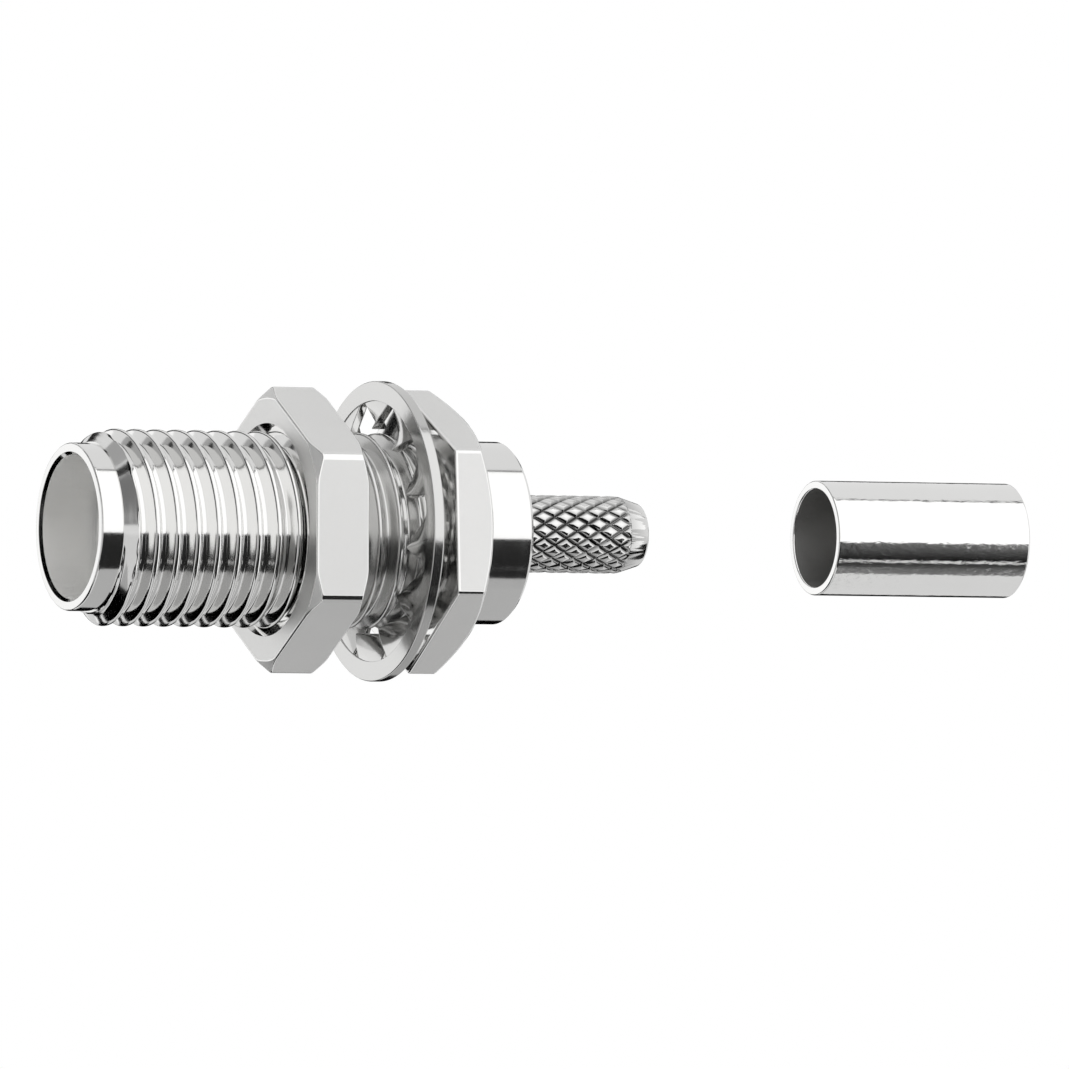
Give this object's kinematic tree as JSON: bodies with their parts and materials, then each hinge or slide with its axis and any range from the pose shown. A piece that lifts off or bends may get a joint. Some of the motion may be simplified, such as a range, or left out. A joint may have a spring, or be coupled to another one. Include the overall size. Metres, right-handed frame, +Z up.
{
  "type": "sma connector",
  "caption": "Threaded coaxial panel jack with hexagonal flange, panel nut, toothed lock washer and knurled crimp stem, shown with its loose crimp sleeve.",
  "frame": {"origin": "on the connector's axis, in the flange face that seats on the panel", "axes": "+X along the axis from the threaded mouth to the cable end, +Z up through a corner of the hexagonal flange, +Y across its flats"},
  "size_m": [0.0333, 0.0096, 0.0096],
  "materials": {
    "plated_body": "bright nickel plate over turned brass",
    "plated_stem": "bright nickel plate over knurled brass",
    "plated_nut": "satin nickel plate over milled brass",
    "plated_washer": "bright nickel plate over stamped spring bronze",
    "plated_ferrule": "bright nickel plate over drawn tube",
    "gold_contact": "gold plate",
    "white_insulator": "waxy white fluoropolymer"
  },
  "bodies": {
    "jack": {"jack_shell": "plated_body", "front_insulator": "white_insulator", "centre_contact": "gold_contact", "rear_insulator": "white_insulator", "crimp_stem": "plated_stem"},
    "nut": {"hex_nut": "plated_nut"},
    "washer": {"lock_washer": "plated_washer"},
    "ferrule": {"crimp_ferrule": "plated_ferrule"}
  },
  "joints": [
    {"name": "nut_travel", "type": "slide", "parent": "jack", "child": "nut", "axis": [1, 0, 0], "range_m": [-0.00847, 0.00141]},
    {"name": "washer_travel", "type": "slide", "parent": "jack", "child": "washer", "axis": [1, 0, 0], "range_m": [0, 0.0004]},
    {"name": "ferrule_travel", "type": "slide", "parent": "jack", "child": "ferrule", "axis": [1, 0, 0], "range_m": [-0.0113, 0]}
  ]
}
